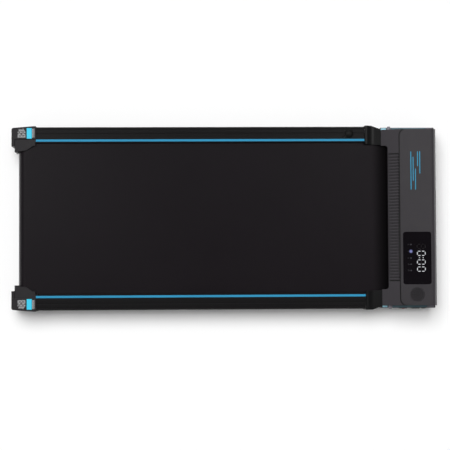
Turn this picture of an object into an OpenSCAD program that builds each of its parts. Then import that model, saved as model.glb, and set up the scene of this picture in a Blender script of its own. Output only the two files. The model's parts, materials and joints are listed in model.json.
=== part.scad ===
// Under-desk walking treadmill with a motor hood at the front.
// X runs from the rear roller to the hood, Y to the walker's left, Z up.
// The origin is on the floor, under the middle of the machine.

/* [Overall size] */
// Length over the rear caps and the hood
overall_l = 1272; // [1252:2:1300]
// Width over the rear caps
overall_w = 554; // [552:2:562]
// Height of the hood's highest edge above the floor
overall_h = 132; // [130:1:138]

/* [Walking surface] */
// Height of the running belt's top run above the floor
walk_z = 88; // [86:1:90]
// Width of the running belt
belt_w = 450; // [436:2:450]
// Thickness of the running belt
belt_t = 2; // [1.6:0.2:2.4]
// Thickness of the deck board
deck_t = 15; // [12:1:16]
// Thickness of the rubber cushions under the deck board
cushion_t = 4.7; // [4.5:0.1:6]

/* [Drive] */
// Radius of the front and rear rollers
roller_r = 21; // [19:0.5:21]
// Radius of the pulley on the front roller
roller_pulley_r = 33; // [30:0.5:33]
// Radius of the motor's pulley
motor_pulley_r = 11; // [10:0.5:12]
// Radius of the motor's steel can
motor_r = 38; // [34:1:38]

/* [Trim] */
// Width of the coloured stripe along each foot rail
stripe_w = 7; // [6:0.2:9]
// Number of perforation rings round the middle hole of the speaker grille
grille_rings = 4; // [2:1:4]
// Radius of the transport wheels
wheel_r = 22; // [20:0.5:22]

/* [Hidden] */
$fn = 48;

frame_black = [0.09, 0.09, 0.10];
cover_grey = [0.20, 0.19, 0.21];
panel_grey = [0.25, 0.24, 0.26];
rail_black = [0.08, 0.08, 0.09];
belt_black = [0.12, 0.11, 0.12];
accent_blue = [0.15, 0.58, 0.76];
bright_steel = [0.72, 0.73, 0.75];
rubber_black = [0.06, 0.06, 0.06];

half_l = overall_l / 2;
half_w = overall_w / 2;
wall = 3;                    // thickness of the moulded covers
slack = 0.3;                 // gap between a loop and what turns inside it
running = 0.05;              // radial clearance of a shaft in its hole
beyond = 1;                  // how far a cutter runs past a face

// Rollers and deck
roller_z = walk_z - belt_t - slack - roller_r;
rear_roller_x = -half_l + 42;
front_roller_x = half_l - 136;
roller_half_l = 226;
deck_top_z = walk_z - belt_t - slack;
deck_z = deck_top_z - deck_t;
deck_rear_x = -half_l + 76;
deck_front_x = half_l - 176;
deck_half_w = 250;
deck_bolt_y = 242;
deck_bolt_xs = [-500, -190, 120, 430];
bearing_w = 12;
roller_wall = 3;

// Frame
tube_w = 28;
tube_h = 40;
tube_wall = 2;
tube_in_y = 234;
tube_out_y = tube_in_y + tube_w;
tube_top_z = deck_z - cushion_t;
tube_z = tube_top_z - tube_h;
tube_rear_x = -half_l + 61;
tube_front_x = half_l - 186;
tray_t = 3;
tray_z = tube_z - tray_t;
tray_rear_x = tube_front_x - 55;
tray_front_x = half_l - 24;
axle_plate_y = 252;
axle_plate_t = 5;
front_axle_r = 8.5;
rear_axle_r = 7.5;
bracket_y = 229;
bracket_t = 5;
bolt_y = 243;
bolt_r = 4;
foot_r = 15;
foot_xs = [-half_l + 92, -30, half_l - 192];

// Drive: the pulleys lie outside the belt's left edge
pulley_y = 230;
pulley_w = 16;
flange_t = 1.5;
motor_x = half_l - 52;
motor_z = tray_z + 45;
motor_y = 88;
motor_l = 126;
bell_t = 8;
shaft_r = 6;
drive_belt_t = 3;

// Transport wheels
wheel_x = half_l - 30;
wheel_y = 224.5;
wheel_w = 23;
wheel_z = wheel_r + 3;
wheel_axle_r = 4;

// Foot rails
rail_out_y = half_w - 3;
rail_in_y = tube_in_y - 6.5;
rail_rear_x = -half_l + 72.5;
rail_front_x = half_l - 213;
rail_top_z = walk_z + 9;
rail_lip_z = tube_z + 8;
rail_skin = 2.5;
stripe_y = rail_in_y + 2.8;

// Rear caps
cap_base_z = 12;
cap_in_y = 216;
cap_wall_x = 9;
guard_wall = 8.7;               // thickness of the guard's rear wall, just behind the belt
crease_y = 238;
guard_in_y = 199;
guard_z = walk_z + 6.5;
guide_y = 217.5;
joint_in_y = 218;

// Hood
hood_rear_x = half_l - 163;
hood_front_x = half_l - 2;
hood_half_w = 264;
hood_base_z = 79;
ramp_z = 97;
panel_rear_x = half_l - 111;
panel_front_x = half_l - 16;
panel_rear_z = overall_h - 6.8;
panel_tilt = atan((overall_h - panel_rear_z) / (panel_front_x - panel_rear_x));
panel_half_w = hood_half_w - 0.5;
panel_gap = 3;
panel_r = 20;
panel_l = (panel_front_x - panel_rear_x - 0.6) / cos(panel_tilt);
panel_t = 3;
vent_start = 23;             // measured up the ramp
vent_l = 30;
vent_half_w = 192;
vent_depth = 1.6;
mouth_x = half_l - 144.5;
mouth_half_w = 216;
mouth_r = 9;
lip_z = walk_z + 4;
pan_half_w = 272.5;
pan_rear_x = hood_rear_x + 1;
pan_z = tray_z - wall;

// Console, measured forward from the panel's rear edge
lens_u = 7.2;
lens_l = 84;
lens_w = 157;
lens_y = -123;
lens_r = 7.5;
lens_t = 2;
digit_h = 30;
digit_w = 17.5;
digit_u = 61;
digit_ys = [-109, -135, -156];
colon_y = -122;
stroke = 3.4;
grille_u = 49.4;
grille_y = -231.7;
grille_r = 22;
grille_t = 1.6;

// Side fittings on the walker's right
switch_x = half_l - 94.5;
inlet_x = half_l - 57;
breaker_x = half_l - 31;
side_fit_z = 52;
fit_y = -pan_half_w;         // outer face of the wall that they sit in
inlet_flange = [11, 15];     // half sizes along X and Z
inlet_body = [9, 13];
inlet_mouth = [7, 11];
switch_flange = [11.5, 8];
switch_body = [10, 6.5];
switch_mouth = [9, 5.5];
breaker_r = 6.5;
button_r = 4;
rocker_pivot_y = fit_y + 3;
rocker_lean = 8;
rocker_pin_r = 1;

// Oil port on the left foot rail
port_x = half_l - 259;
port_y = 253;
plug_r = 12;
stem_r = 4;
tail_l = 20;
tail_turn = 180 + atan2(12, 16);
strap_root = 6.3;
anchor_r = 2.3;

function along_circle(centre, r, angle) = centre + r * [cos(angle), sin(angle)];
function corner(centre, r, start) = [for (step = [0:6]) along_circle(centre, r, start + 15 * step)];
function rounded(low, high, r) = concat(
    corner([high[0] - r, high[1] - r], r, 0),
    corner([low[0] + r, high[1] - r], r, 90),
    corner([low[0] + r, low[1] + r], r, 180),
    corner([high[0] - r, low[1] + r], r, 270)
);

// Draws an X-Z outline as a solid from y0 to y1
module across(y0, y1) {
    translate([0, y1, 0]) rotate([90, 0, 0]) linear_extrude(y1 - y0) children();
}

// Draws a Y-Z outline as a solid from x0 to x1
module along(x0, x1) {
    translate([x0, 0, 0]) rotate([90, 0, 90]) linear_extrude(x1 - x0) children();
}

// A round bar along Y
module bar(x, z, r, y0, y1) {
    translate([x, y0, z]) rotate([-90, 0, 0]) cylinder(h = y1 - y0, r = r);
}

// A box from its low corner to its high corner
module block(low, high) {
    translate(low) cube(high - low);
}

module other_side() {
    mirror([0, 1, 0]) children();
}

module both_sides() {
    children();
    mirror([0, 1, 0]) children();
}

// Places parts on the tilted console panel: X runs forward from its rear edge
module on_panel() {
    translate([panel_rear_x, 0, panel_rear_z]) rotate([0, -panel_tilt, 0]) children();
}

// Outline round two circles and their outer tangents; the first circle is the larger
module loop_outline(c1, r1, c2, r2) {
    steps = 30;
    lean = atan2(c2[1] - c1[1], c2[0] - c1[0]);
    spread = acos((r1 - r2) / norm(c2 - c1));
    far_arc = 360 - 2 * spread;
    polygon(concat(
        [for (step = [0:steps]) along_circle(c1, r1, lean + spread + far_arc * step / steps)],
        [for (step = [0:steps]) along_circle(c2, r2, lean - spread + 2 * spread * step / steps)]
    ));
}

// ---- Frame ----

module frame_tube() color(frame_black) difference() {
    block([tube_rear_x, tube_in_y, tube_z], [tube_front_x, tube_out_y, tube_top_z]);
    block([tube_rear_x - beyond, tube_in_y + tube_wall, tube_z + tube_wall],
          [tube_front_x + beyond, tube_out_y - tube_wall, tube_top_z - tube_wall]);
    for (x = deck_bolt_xs)
        translate([x, deck_bolt_y, tube_top_z - 5]) cylinder(h = 10, r = 3);
}

module crossbars() color(frame_black) {
    bar_half_l = 15;
    bar_h = 12;
    for (x = [-400, -20, 330])
        block([x - bar_half_l, -tube_in_y, tube_z], [x + bar_half_l, tube_in_y, tube_z + bar_h]);
}

module axle_plate() {
    reach = 47;
    across(axle_plate_y, axle_plate_y + axle_plate_t) polygon([
        [front_roller_x - 38, tube_z], [front_roller_x - 38, roller_z + 8],
        [front_roller_x - 18, roller_z + 19], [front_roller_x + 18, roller_z + 19],
        [front_roller_x + reach, tube_z + 16], [front_roller_x + reach, tube_z]
    ]);
}

module wheel_lugs() {
    lug_t = 3;
    for (y = [wheel_y - 5.5, wheel_y + wheel_w + 2.5])
        across(y, y + lug_t) {
            translate([wheel_x, wheel_z]) circle(9);
            translate([wheel_x - 9, wheel_z]) square([18, 15]);
        }
}

module motor_tray() color(frame_black) difference() {
    union() {
        block([tray_rear_x, -tube_out_y, tray_z], [tray_front_x, tube_out_y, tube_z]);
        both_sides() axle_plate();
        both_sides() wheel_lugs();
    }
    both_sides()
        block([wheel_x - wheel_r - 3, wheel_y - 2.5, tray_z - beyond],
              [tray_front_x + beyond, wheel_y + wheel_w + 2.5, tube_z + beyond]);
    bar(front_roller_x, roller_z, front_axle_r, -half_w, half_w);
    bar(wheel_x, wheel_z, wheel_axle_r, -half_w, half_w);
}

module rear_bracket() {
    tab_t = 5;
    low_z = roller_z - 17;
    high_z = roller_z + 17;
    slot_r = rear_axle_r + running;
    slot_half = 8;
    difference() {
        union() {
            across(bracket_y, bracket_y + bracket_t) polygon([
                [rear_roller_x - 17, low_z], [rear_roller_x - 17, high_z], [rear_roller_x + 15, high_z],
                [rear_roller_x + 22, tube_top_z], [tube_rear_x + 75, tube_top_z], [tube_rear_x + 75, low_z]
            ]);
            block([rear_roller_x - 17, bracket_y, low_z], [rear_roller_x - 17 + tab_t, bolt_y + 11, high_z]);
        }
        across(bracket_y - beyond, bracket_y + bracket_t + beyond) {
            for (dx = [-slot_half, slot_half]) translate([rear_roller_x + dx, roller_z]) circle(slot_r);
            translate([rear_roller_x - slot_half, roller_z - slot_r]) square([2 * slot_half, 2 * slot_r]);
        }
        translate([rear_roller_x - 25, bolt_y, roller_z]) rotate([0, 90, 0])
            cylinder(h = 20, r = bolt_r + running);
    }
}

module rear_brackets() color(frame_black) both_sides() rear_bracket();

module rubber_feet() color(rubber_black) both_sides() for (x = foot_xs) {
    foot_top = x > tray_rear_x ? tray_z : tube_z;
    translate([x, tube_in_y + tube_w / 2, 0]) {
        cylinder(h = 8, r = foot_r);
        cylinder(h = foot_top, r = foot_r - 2.5);
    }
}

// ---- Deck and running belt ----

module deck_board() color([0.30, 0.22, 0.15]) difference() {
    block([deck_rear_x, -deck_half_w, deck_z], [deck_front_x, deck_half_w, deck_top_z]);
    both_sides() for (x = deck_bolt_xs)
        translate([x, deck_bolt_y, deck_z - beyond]) cylinder(h = deck_t + 2 * beyond, r = 3);
}

module deck_cushions() color(rubber_black) both_sides() for (x = deck_bolt_xs)
    translate([x, deck_bolt_y, tube_top_z]) difference() {
        translate([-22, -7, 0]) cube([44, 14, cushion_t]);
        translate([0, 0, -beyond]) cylinder(h = cushion_t + 2 * beyond, r = 3);
    }

module deck_screws() color(bright_steel) both_sides() for (x = deck_bolt_xs)
    translate([x, deck_bolt_y, 0]) {
        translate([0, 0, tube_top_z - 6]) cylinder(h = deck_top_z - tube_top_z + 6, r = 3);
        translate([0, 0, deck_top_z]) cylinder(h = 2.6, r = 5.5);
    }

module running_belt() color(belt_black) across(-belt_w / 2, belt_w / 2) difference() {
    rear = [rear_roller_x, roller_z];
    front = [front_roller_x, roller_z];
    inner_r = roller_r + slack;
    loop_outline(rear, inner_r + belt_t, front, inner_r + belt_t);
    loop_outline(rear, inner_r, front, inner_r);
}

// ---- Rollers ----

module roller_tube(x) color(bright_steel) difference() {
    bar(x, roller_z, roller_r, -roller_half_l, roller_half_l);
    bar(x, roller_z, roller_r - roller_wall, -roller_half_l - beyond, roller_half_l + beyond);
}

module roller_bearings(x, axle_r) color([0.55, 0.56, 0.58]) both_sides() difference() {
    bar(x, roller_z, roller_r - roller_wall, roller_half_l - bearing_w - 2, roller_half_l - 2);
    bar(x, roller_z, axle_r + running, roller_half_l - bearing_w - 4, roller_half_l);
}

module front_axle() color(bright_steel) {
    shoulder_r = 11;
    end_y = axle_plate_y + axle_plate_t + 1.5;
    bar(front_roller_x, roller_z, front_axle_r, -end_y, end_y);
    bar(front_roller_x, roller_z, shoulder_r, -axle_plate_y, -roller_half_l - 1.5);
    bar(front_roller_x, roller_z, shoulder_r, pulley_y + pulley_w + 2.5, axle_plate_y);
}

module rear_axle() color(bright_steel) difference() {
    bar(rear_roller_x, roller_z, rear_axle_r, -bolt_y - 8, bolt_y + 8);
    both_sides() translate([rear_roller_x - 12, bolt_y, roller_z]) rotate([0, 90, 0])
        cylinder(h = 24, r = bolt_r + running);
}

module tension_bolt() color([0.30, 0.31, 0.33]) {
    tab_x = rear_roller_x - 17 - slack;
    translate([tab_x, bolt_y, roller_z]) rotate([0, -90, 0]) difference() {
        cylinder(h = 8, r = 6.5);
        translate([0, 0, 3]) cylinder(h = 6, r = 3.4, $fn = 6);
    }
    translate([tab_x, bolt_y, roller_z]) rotate([0, 90, 0]) cylinder(h = 29, r = bolt_r);
}

// A grooved pulley between two flanges, with its hub from y0 to y1
module pulley(x, z, r, bore_r, hub_r, y0, y1) {
    grooves = 5;
    pitch = (pulley_w - 2 * flange_t) / grooves;
    difference() {
        union() {
            bar(x, z, r + 2, pulley_y, pulley_y + flange_t);
            bar(x, z, r + 2, pulley_y + pulley_w - flange_t, pulley_y + pulley_w);
            bar(x, z, r - 1.4, pulley_y, pulley_y + pulley_w);
            for (ridge = [0:grooves]) {
                ridge_y = pulley_y + flange_t + pitch * ridge;
                bar(x, z, r, ridge_y - 0.5, ridge_y + 0.5);
            }
            bar(x, z, hub_r, y0, y1);
        }
        bar(x, z, bore_r, y0 - beyond, y1 + beyond);
    }
}

module roller_pulley() color([0.16, 0.16, 0.17])
    pulley(front_roller_x, roller_z, roller_pulley_r, front_axle_r + 0.5, 15,
           roller_half_l, pulley_y + pulley_w + 1.5);

// ---- Motor ----

module motor_can() color(frame_black) difference() {
    bar(motor_x, motor_z, motor_r, motor_y + bell_t, motor_y + motor_l - bell_t);
    bar(motor_x, motor_z, motor_r - 4, motor_y, motor_y + motor_l);
}

module motor_end_bells() color([0.60, 0.61, 0.63]) for (end = [0, 1]) difference() {
    y = motor_y + end * (motor_l - bell_t);
    boss_y = y - 2 + 2 * end;
    union() {
        bar(motor_x, motor_z, motor_r, y, y + bell_t);
        bar(motor_x, motor_z, 14, boss_y, boss_y + bell_t + 2);
    }
    bar(motor_x, motor_z, shaft_r + running, y - 5, y + bell_t + 5);
}

module motor_cradle() color(bright_steel) for (y = [motor_y + 20, motor_y + motor_l - 36]) difference() {
    union() {
        block([motor_x - 30, y, tube_z], [motor_x + 30, y + 16, motor_z - 16]);
        bar(motor_x, motor_z, motor_r + 2, y, y + 16);
    }
    bar(motor_x, motor_z, motor_r, y - beyond, y + 16 + beyond);
}

module motor_rotor() color(bright_steel) {
    core_r = motor_r - 8;
    bar(motor_x, motor_z, shaft_r, motor_y - 26, pulley_y + pulley_w + 3);
    bar(motor_x, motor_z, core_r, motor_y + 18, motor_y + motor_l - 18);
}

module motor_pulley() color([0.45, 0.46, 0.48])
    pulley(motor_x, motor_z, motor_pulley_r, shaft_r, 9, pulley_y - 5, pulley_y + pulley_w);

module motor_flywheel() color([0.40, 0.41, 0.43]) difference() {
    blade_count = 12;
    rim_r = motor_r - 5;
    union() {
        bar(motor_x, motor_z, rim_r, motor_y - 22, motor_y - 14);
        bar(motor_x, motor_z, 12, motor_y - 22, motor_y - 4);
        for (blade = [0:blade_count - 1])
            translate([motor_x, motor_y - 14, motor_z]) rotate([0, blade * 360 / blade_count, 0])
                translate([14, 0, -0.8]) cube([rim_r - 17, 8, 1.6]);
    }
    bar(motor_x, motor_z, shaft_r, motor_y - 30, motor_y);
}

module drive_belt() color(rubber_black)
    across(pulley_y + flange_t + 0.7, pulley_y + pulley_w - flange_t - 0.7) difference() {
        big = [front_roller_x, roller_z];
        small = [motor_x, motor_z];
        outer = slack + drive_belt_t;
        loop_outline(big, roller_pulley_r + outer, small, motor_pulley_r + outer);
        loop_outline(big, roller_pulley_r + slack, small, motor_pulley_r + slack);
    }

module speed_sensor() color([0.15, 0.3, 0.2])
    block([front_roller_x + 20, axle_plate_y - 3, tube_z + 4],
          [front_roller_x + 33, axle_plate_y, tube_z + 15]);

// ---- Electronics ----

module controller_board() color([0.10, 0.35, 0.20]) {
    low = [half_l - 104, -170, tube_z + 8];
    high = [half_l - 22, 20, tube_z + 10];
    block(low, high);
    for (x = [low[0] + 6, high[0] - 6], y = [low[1] + 6, high[1] - 6])
        translate([x, y, tube_z]) cylinder(h = 8, r = 3);
    for (y = [-150, -122]) translate([half_l - 30, y, tube_z + 10]) cylinder(h = 36, r = 11);
    block([half_l - 98, -150, tube_z + 10], [half_l - 70, -120, tube_z + 28]);
}

module controller_heatsink() color([0.70, 0.71, 0.73]) {
    base = [half_l - 96, -96, tube_z + 10];
    fin_count = 8;
    block(base, base + [74, 96, 5]);
    for (fin = [0:fin_count - 1])
        block(base + [0, fin * 13, 5], base + [74, fin * 13 + 2.5, 30]);
}

function unit(v) = v / norm(v);

// A round cable swept through its points, none of them straight above another
module cable(r, points) {
    sides = 8;
    last = len(points) - 1;
    ways = [for (i = [0:last]) unit(points[min(i + 1, last)] - points[max(i - 1, 0)])];
    rings = [for (i = [0:last]) let (side = unit(cross(ways[i], [0, 0, 1])), up = cross(side, ways[i]))
        for (k = [0:sides - 1]) points[i] + r * (cos(360 * k / sides) * side + sin(360 * k / sides) * up)];
    polyhedron(points = rings, faces = concat(
        [[for (k = [0:sides - 1]) k]],
        [for (i = [0:last - 1], k = [0:sides - 1]) let (next = (k + 1) % sides)
            [i * sides + k, (i + 1) * sides + k, (i + 1) * sides + next, i * sides + next]],
        [[for (k = [sides - 1:-1:0]) last * sides + k]]
    ));
}

module wiring_harness() color([0.12, 0.12, 0.12]) {
    cable(3, [
        [inlet_x, fit_y + 33, side_fit_z], [inlet_x, -215, side_fit_z], [inlet_x - 8, -196, side_fit_z - 3],
        [inlet_x - 22, -182, tube_z + 18], [inlet_x - 27, -166, tube_z + 16], [inlet_x - 27, -150, tube_z + 16]
    ]);
    cable(3, [
        [half_l - 60, 20, tube_z + 9], [half_l - 60, 24, tube_z + 9], [half_l - 72, 38, tube_z + 7],
        [half_l - 94, 54, tube_z + 6], [half_l - 104, 76, tube_z + 12], [half_l - 104, 92, motor_z - 12],
        [half_l - 101, 100, motor_z - 3],
        [motor_x - motor_r - 4, 102, motor_z], [motor_x - motor_r - 0.1, 102, motor_z]
    ]);
}

// A box round a side fitting's middle, from y0 to y1
module fitting_box(x, half, y0, y1) {
    block([x - half[0], y0, side_fit_z - half[1]], [x + half[0], y1, side_fit_z + half[1]]);
}

module power_inlet() color([0.05, 0.05, 0.05]) difference() {
    union() {
        fitting_box(inlet_x, inlet_flange, fit_y - 2.5, fit_y);
        fitting_box(inlet_x, inlet_body, fit_y, fit_y + 33);
    }
    fitting_box(inlet_x, inlet_mouth, fit_y - 5, fit_y + 16);
}

module switch_frame() color([0.05, 0.05, 0.05]) difference() {
    union() {
        fitting_box(switch_x, switch_flange, fit_y - 2, fit_y);
        fitting_box(switch_x, switch_body, fit_y, fit_y + 12.5);
    }
    fitting_box(switch_x, switch_mouth, fit_y - 5, fit_y + 10);
    translate([switch_x, rocker_pivot_y, side_fit_z])
        cylinder(h = 14, r = rocker_pin_r + running, center = true);
}

// At rest the switch is off, with the rocker's forward half standing proud
module switch_rocker() color([0.85, 0.10, 0.10]) translate([switch_x, rocker_pivot_y, side_fit_z]) {
    cylinder(h = 12.4, r = rocker_pin_r, center = true);
    rotate([0, 0, -rocker_lean])
        translate([0, 0, -5]) linear_extrude(10) polygon([
            [-8, -3.6], [-4, -5.6], [0, -6.4], [4, -5.6], [8, -3.6], [7.4, 2.5], [3, 4.5], [-3, 4.5], [-7.4, 2.5]
        ]);
}

module breaker_body() color([0.05, 0.05, 0.05]) translate([breaker_x, fit_y, side_fit_z]) rotate([90, 0, 0])
    difference() {
        union() {
            cylinder(h = 2, r = breaker_r + 1.5);
            translate([0, 0, -20]) cylinder(h = 20, r = breaker_r);
        }
        translate([0, 0, -14]) cylinder(h = 20, r = button_r + running);
    }

module breaker_button() color([0.8, 0.8, 0.8]) translate([breaker_x, fit_y, side_fit_z]) rotate([90, 0, 0])
    translate([0, 0, -10]) cylinder(h = 14.5, r = button_r);

module display_board() color([0.10, 0.35, 0.20]) on_panel()
    translate([lens_u + 6, lens_y - lens_w / 2 + 8, -10]) cube([lens_l - 16, lens_w - 16, 1.6]);

module lens_outline(grow) polygon(rounded(
    [lens_u - grow, lens_y - lens_w / 2 - grow], [lens_u + lens_l + grow, lens_y + lens_w / 2 + grow], lens_r));

module display_lens() color([0.02, 0.02, 0.03]) on_panel()
    translate([0, 0, -lens_t]) linear_extrude(lens_t) lens_outline(0);

// A seven-segment zero: its top points forward and it reads towards the right
module digit_zero(y) {
    long = digit_h / 2 - stroke;
    low = digit_u - digit_h / 2;
    for (end = [low, low + digit_h - stroke])
        translate([end, y - digit_w / 2 + stroke, 0]) cube([stroke, digit_w - 2 * stroke, 0.3]);
    sides = [y - digit_w / 2, y + digit_w / 2 - stroke];
    for (end = [low + stroke + 0.4, low + digit_h / 2 + 0.5], side = sides)
        translate([end, side, 0]) cube([long - 0.9, stroke, 0.3]);
}

module display_digits() color([0.95, 0.97, 1.0]) on_panel() {
    for (y = digit_ys) digit_zero(y);
    for (du = [-6, 6]) translate([digit_u + du, colon_y, 0]) cylinder(h = 0.3, r = 1.6);
}

module speaker_driver() color([0.10, 0.10, 0.10]) on_panel() translate([grille_u, grille_y, 0]) {
    translate([0, 0, -10]) cylinder(h = 3.5, r = 20);
    translate([0, 0, -20]) cylinder(h = 10, r = 12);
}

module speaker_grille() color([0.05, 0.05, 0.05]) on_panel()
    translate([grille_u, grille_y, -grille_t]) difference() {
        hole_pitch = 5;
        hole_r = 1.5;
        cylinder(h = grille_t, r = grille_r);
        translate([0, 0, -beyond]) cylinder(h = 4, r = hole_r);
        for (ring = [1:grille_rings], hole = [0:6 * ring - 1])
            rotate([0, 0, hole * 60 / ring]) translate([ring * hole_pitch, 0, -beyond])
                cylinder(h = 4, r = hole_r, $fn = 24);
    }

// ---- Hood ----

module hood_outline() polygon([
    [hood_rear_x, hood_base_z], [hood_rear_x, ramp_z], [panel_rear_x - 5, panel_rear_z - 2.6],
    [panel_rear_x, panel_rear_z], [panel_front_x, overall_h], [panel_front_x + 6.5, overall_h - 1.5],
    [hood_front_x, overall_h - 16], [hood_front_x, hood_base_z]
]);

module hood_hollow() polygon([
    [hood_rear_x + wall, hood_base_z - 5], [hood_rear_x + wall, ramp_z - 2],
    [panel_rear_x - 6, panel_rear_z - 7.2],
    [panel_front_x, overall_h - 6.3], [panel_front_x + 5, overall_h - 7],
    [hood_front_x - wall, overall_h - 19], [hood_front_x - wall, hood_base_z - 5]
]);

// The cut-out in the hood's rear edge that the running belt enters
module mouth_outline(grow) {
    middle_x = mouth_x - mouth_r;
    middle_y = mouth_half_w - mouth_r;
    polygon(concat(
        [[hood_rear_x - 20, mouth_half_w + grow]],
        [for (step = [0:6]) along_circle([middle_x, middle_y], mouth_r + grow, 90 - 15 * step)],
        [for (step = [0:6]) along_circle([middle_x, -middle_y], mouth_r + grow, -15 * step)],
        [[hood_rear_x - 20, -mouth_half_w - grow]]
    ));
}

// The panel's outline, or its seat in the hood, which is wider by grow but hardly longer in front
module panel_outline(grow) {
    r = panel_r;
    front_u = panel_l + grow / 10;
    side_y = panel_half_w + grow;
    polygon(concat(
        corner([front_u - 3, side_y - 3], 3, 0), corner([r - grow, side_y - r], r, 90),
        corner([r - grow, -side_y + r], r, 180), corner([front_u - 3, -side_y + 3], 3, 270)
    ));
}

module hood_shell() color(cover_grey) difference() {
    union() {
        difference() {
            across(-hood_half_w, hood_half_w) hood_outline();
            across(-hood_half_w + wall, hood_half_w - wall) hood_hollow();
        }
        intersection() {
            across(-hood_half_w + 1, hood_half_w - 1) hood_outline();
            translate([0, 0, lip_z]) linear_extrude(overall_h) mouth_outline(wall);
        }
    }
    translate([0, 0, 50]) linear_extrude(overall_h) mouth_outline(0);
    block([hood_rear_x - beyond, -hood_half_w + wall, hood_base_z - 5],
          [hood_rear_x + wall + 2, hood_half_w - wall, lip_z]);
    on_panel() translate([0, 0, -panel_t]) linear_extrude(20) panel_outline(panel_gap);
    on_panel() translate([lens_u + 3, lens_y - lens_w / 2 + 4, -20]) cube([lens_l - 10, lens_w - 8, 20]);
    on_panel() translate([grille_u, grille_y, -20]) cylinder(h = 20, r = grille_r - 1.5);
    vent_recess();
}

// A shallow band on the ramp that the vent ribs stand in
module vent_recess() {
    ramp_tilt = atan((panel_rear_z - 2.6 - ramp_z) / (panel_rear_x - 5 - hood_rear_x));
    translate([hood_rear_x, 0, ramp_z]) rotate([0, -ramp_tilt, 0])
        translate([vent_start, -vent_half_w, -vent_depth]) cube([vent_l, 2 * vent_half_w, 6]);
}

module console_panel() color(panel_grey) on_panel() difference() {
    translate([0, 0, -panel_t]) linear_extrude(panel_t) panel_outline(0);
    translate([0, 0, -lens_t]) linear_extrude(lens_t + beyond) lens_outline(0);
    translate([lens_u + 3, lens_y - lens_w / 2 + 4, -10]) cube([lens_l - 10, lens_w - 8, 9]);
    translate([grille_u, grille_y, -grille_t]) cylinder(h = 5, r = grille_r);
    translate([grille_u, grille_y, -5]) cylinder(h = 5, r = grille_r - 1.5);
}

module pan_outline(inset) polygon([
    [pan_rear_x - (inset > 0 ? 5 : 0), pan_z + inset], [pan_rear_x - (inset > 0 ? 5 : 0), hood_base_z - inset],
    [half_l - inset, hood_base_z - inset], [half_l - inset, pan_z + 25],
    [half_l - 20 - inset * 0.5, pan_z + inset]
]);

module base_pan() color(cover_grey) difference() {
    across(-pan_half_w, pan_half_w) pan_outline(0);
    across(-pan_half_w + wall, pan_half_w - wall) pan_outline(wall);
    block([pan_rear_x - 5, -hood_half_w + wall, hood_base_z - 5],
          [hood_front_x - wall, hood_half_w - wall, hood_base_z + 5]);
    both_sides() block([wheel_x - wheel_r - 4, wheel_y - 8, pan_z - 5],
                       [half_l + 5, wheel_y + wheel_w + 8, wheel_z + 16]);
    fitting_box(inlet_x, inlet_body, fit_y - 5, fit_y + 5);
    fitting_box(switch_x, switch_body, fit_y - 5, fit_y + 5);
    translate([breaker_x, fit_y + 5, side_fit_z]) rotate([90, 0, 0]) cylinder(h = 10, r = breaker_r);
}

module side_strips() color(accent_blue) both_sides()
    block([half_l - 130, hood_half_w, hood_base_z], [half_l - 26, pan_half_w - 1.5, hood_base_z + 5]);

module strip_lenses() color([0.55, 0.85, 0.95]) both_sides()
    block([hood_rear_x + 2, hood_half_w, hood_base_z], [hood_rear_x + 17.5, pan_half_w - 2, hood_base_z + 4]);

// On each side: a round boss behind the coloured strip, and the strip's front end piece
module strip_fittings() color([0.6, 0.6, 0.6]) both_sides() {
    block([half_l - 25, hood_half_w, hood_base_z], [half_l - 4, pan_half_w - 2, hood_base_z + 4]);
    translate([half_l - 138, hood_half_w, hood_base_z + 6.5]) rotate([-90, 0, 0]) {
        cylinder(h = 8, r = 6.5);
        translate([0, 0, 8]) cylinder(h = 3, r = 4.5);
    }
}

// ---- Foot rails and caps ----

module rail_outline() polygon([
    [rail_in_y, walk_z - 1], [rail_in_y, rail_top_z - 1], [stripe_y, rail_top_z - 1],
    [stripe_y, rail_top_z - 3.5], [stripe_y + stripe_w, rail_top_z - 3.5], [stripe_y + stripe_w, rail_top_z],
    [rail_out_y - 24, rail_top_z], [rail_out_y - 24, rail_top_z - rail_skin],
    [rail_out_y - 18, rail_top_z - rail_skin], [rail_out_y - 18, rail_top_z],
    [rail_out_y - 9, rail_top_z], [rail_out_y - 9, rail_top_z - rail_skin],
    [rail_out_y - 5.5, rail_top_z - rail_skin], [rail_out_y - 5.5, rail_top_z],
    [rail_out_y - 3, rail_top_z], [rail_out_y, rail_top_z - 3], [rail_out_y, rail_lip_z],
    [rail_out_y - 9, rail_lip_z], [rail_out_y - 9, rail_lip_z + rail_skin],
    [rail_out_y - rail_skin, rail_lip_z + rail_skin], [rail_out_y - rail_skin, tube_top_z],
    [tube_out_y - 9, tube_top_z], [tube_out_y - 9, tube_top_z + rail_skin],
    [rail_out_y - rail_skin, tube_top_z + rail_skin], [rail_out_y - rail_skin, rail_top_z - 6],
    [rail_in_y + 2, rail_top_z - 6], [rail_in_y + 2, walk_z - 1]
]);

module foot_rail() color(rail_black) along(rail_rear_x, rail_front_x) rail_outline();

module foot_rail_left() color(rail_black) difference() {
    foot_rail();
    translate([port_x, port_y, rail_top_z - 10]) cylinder(h = 20, r = stem_r + 1.2);
    translate([port_x, port_y, rail_top_z - 2.5]) cylinder(h = 10, r = plug_r + 2);
    translate([port_x, port_y, rail_top_z - 2.5]) rotate([0, 0, tail_turn]) {
        translate([0, -5, 0]) cube([tail_l, 10, 10]);
        translate([tail_l, 0, 0]) cylinder(h = 10, r = 5);
    }
}

module rail_stripes() color(accent_blue) both_sides()
    block([rail_rear_x, stripe_y, rail_top_z - 3.5], [rail_front_x, stripe_y + stripe_w, rail_top_z - 0.2]);

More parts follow.
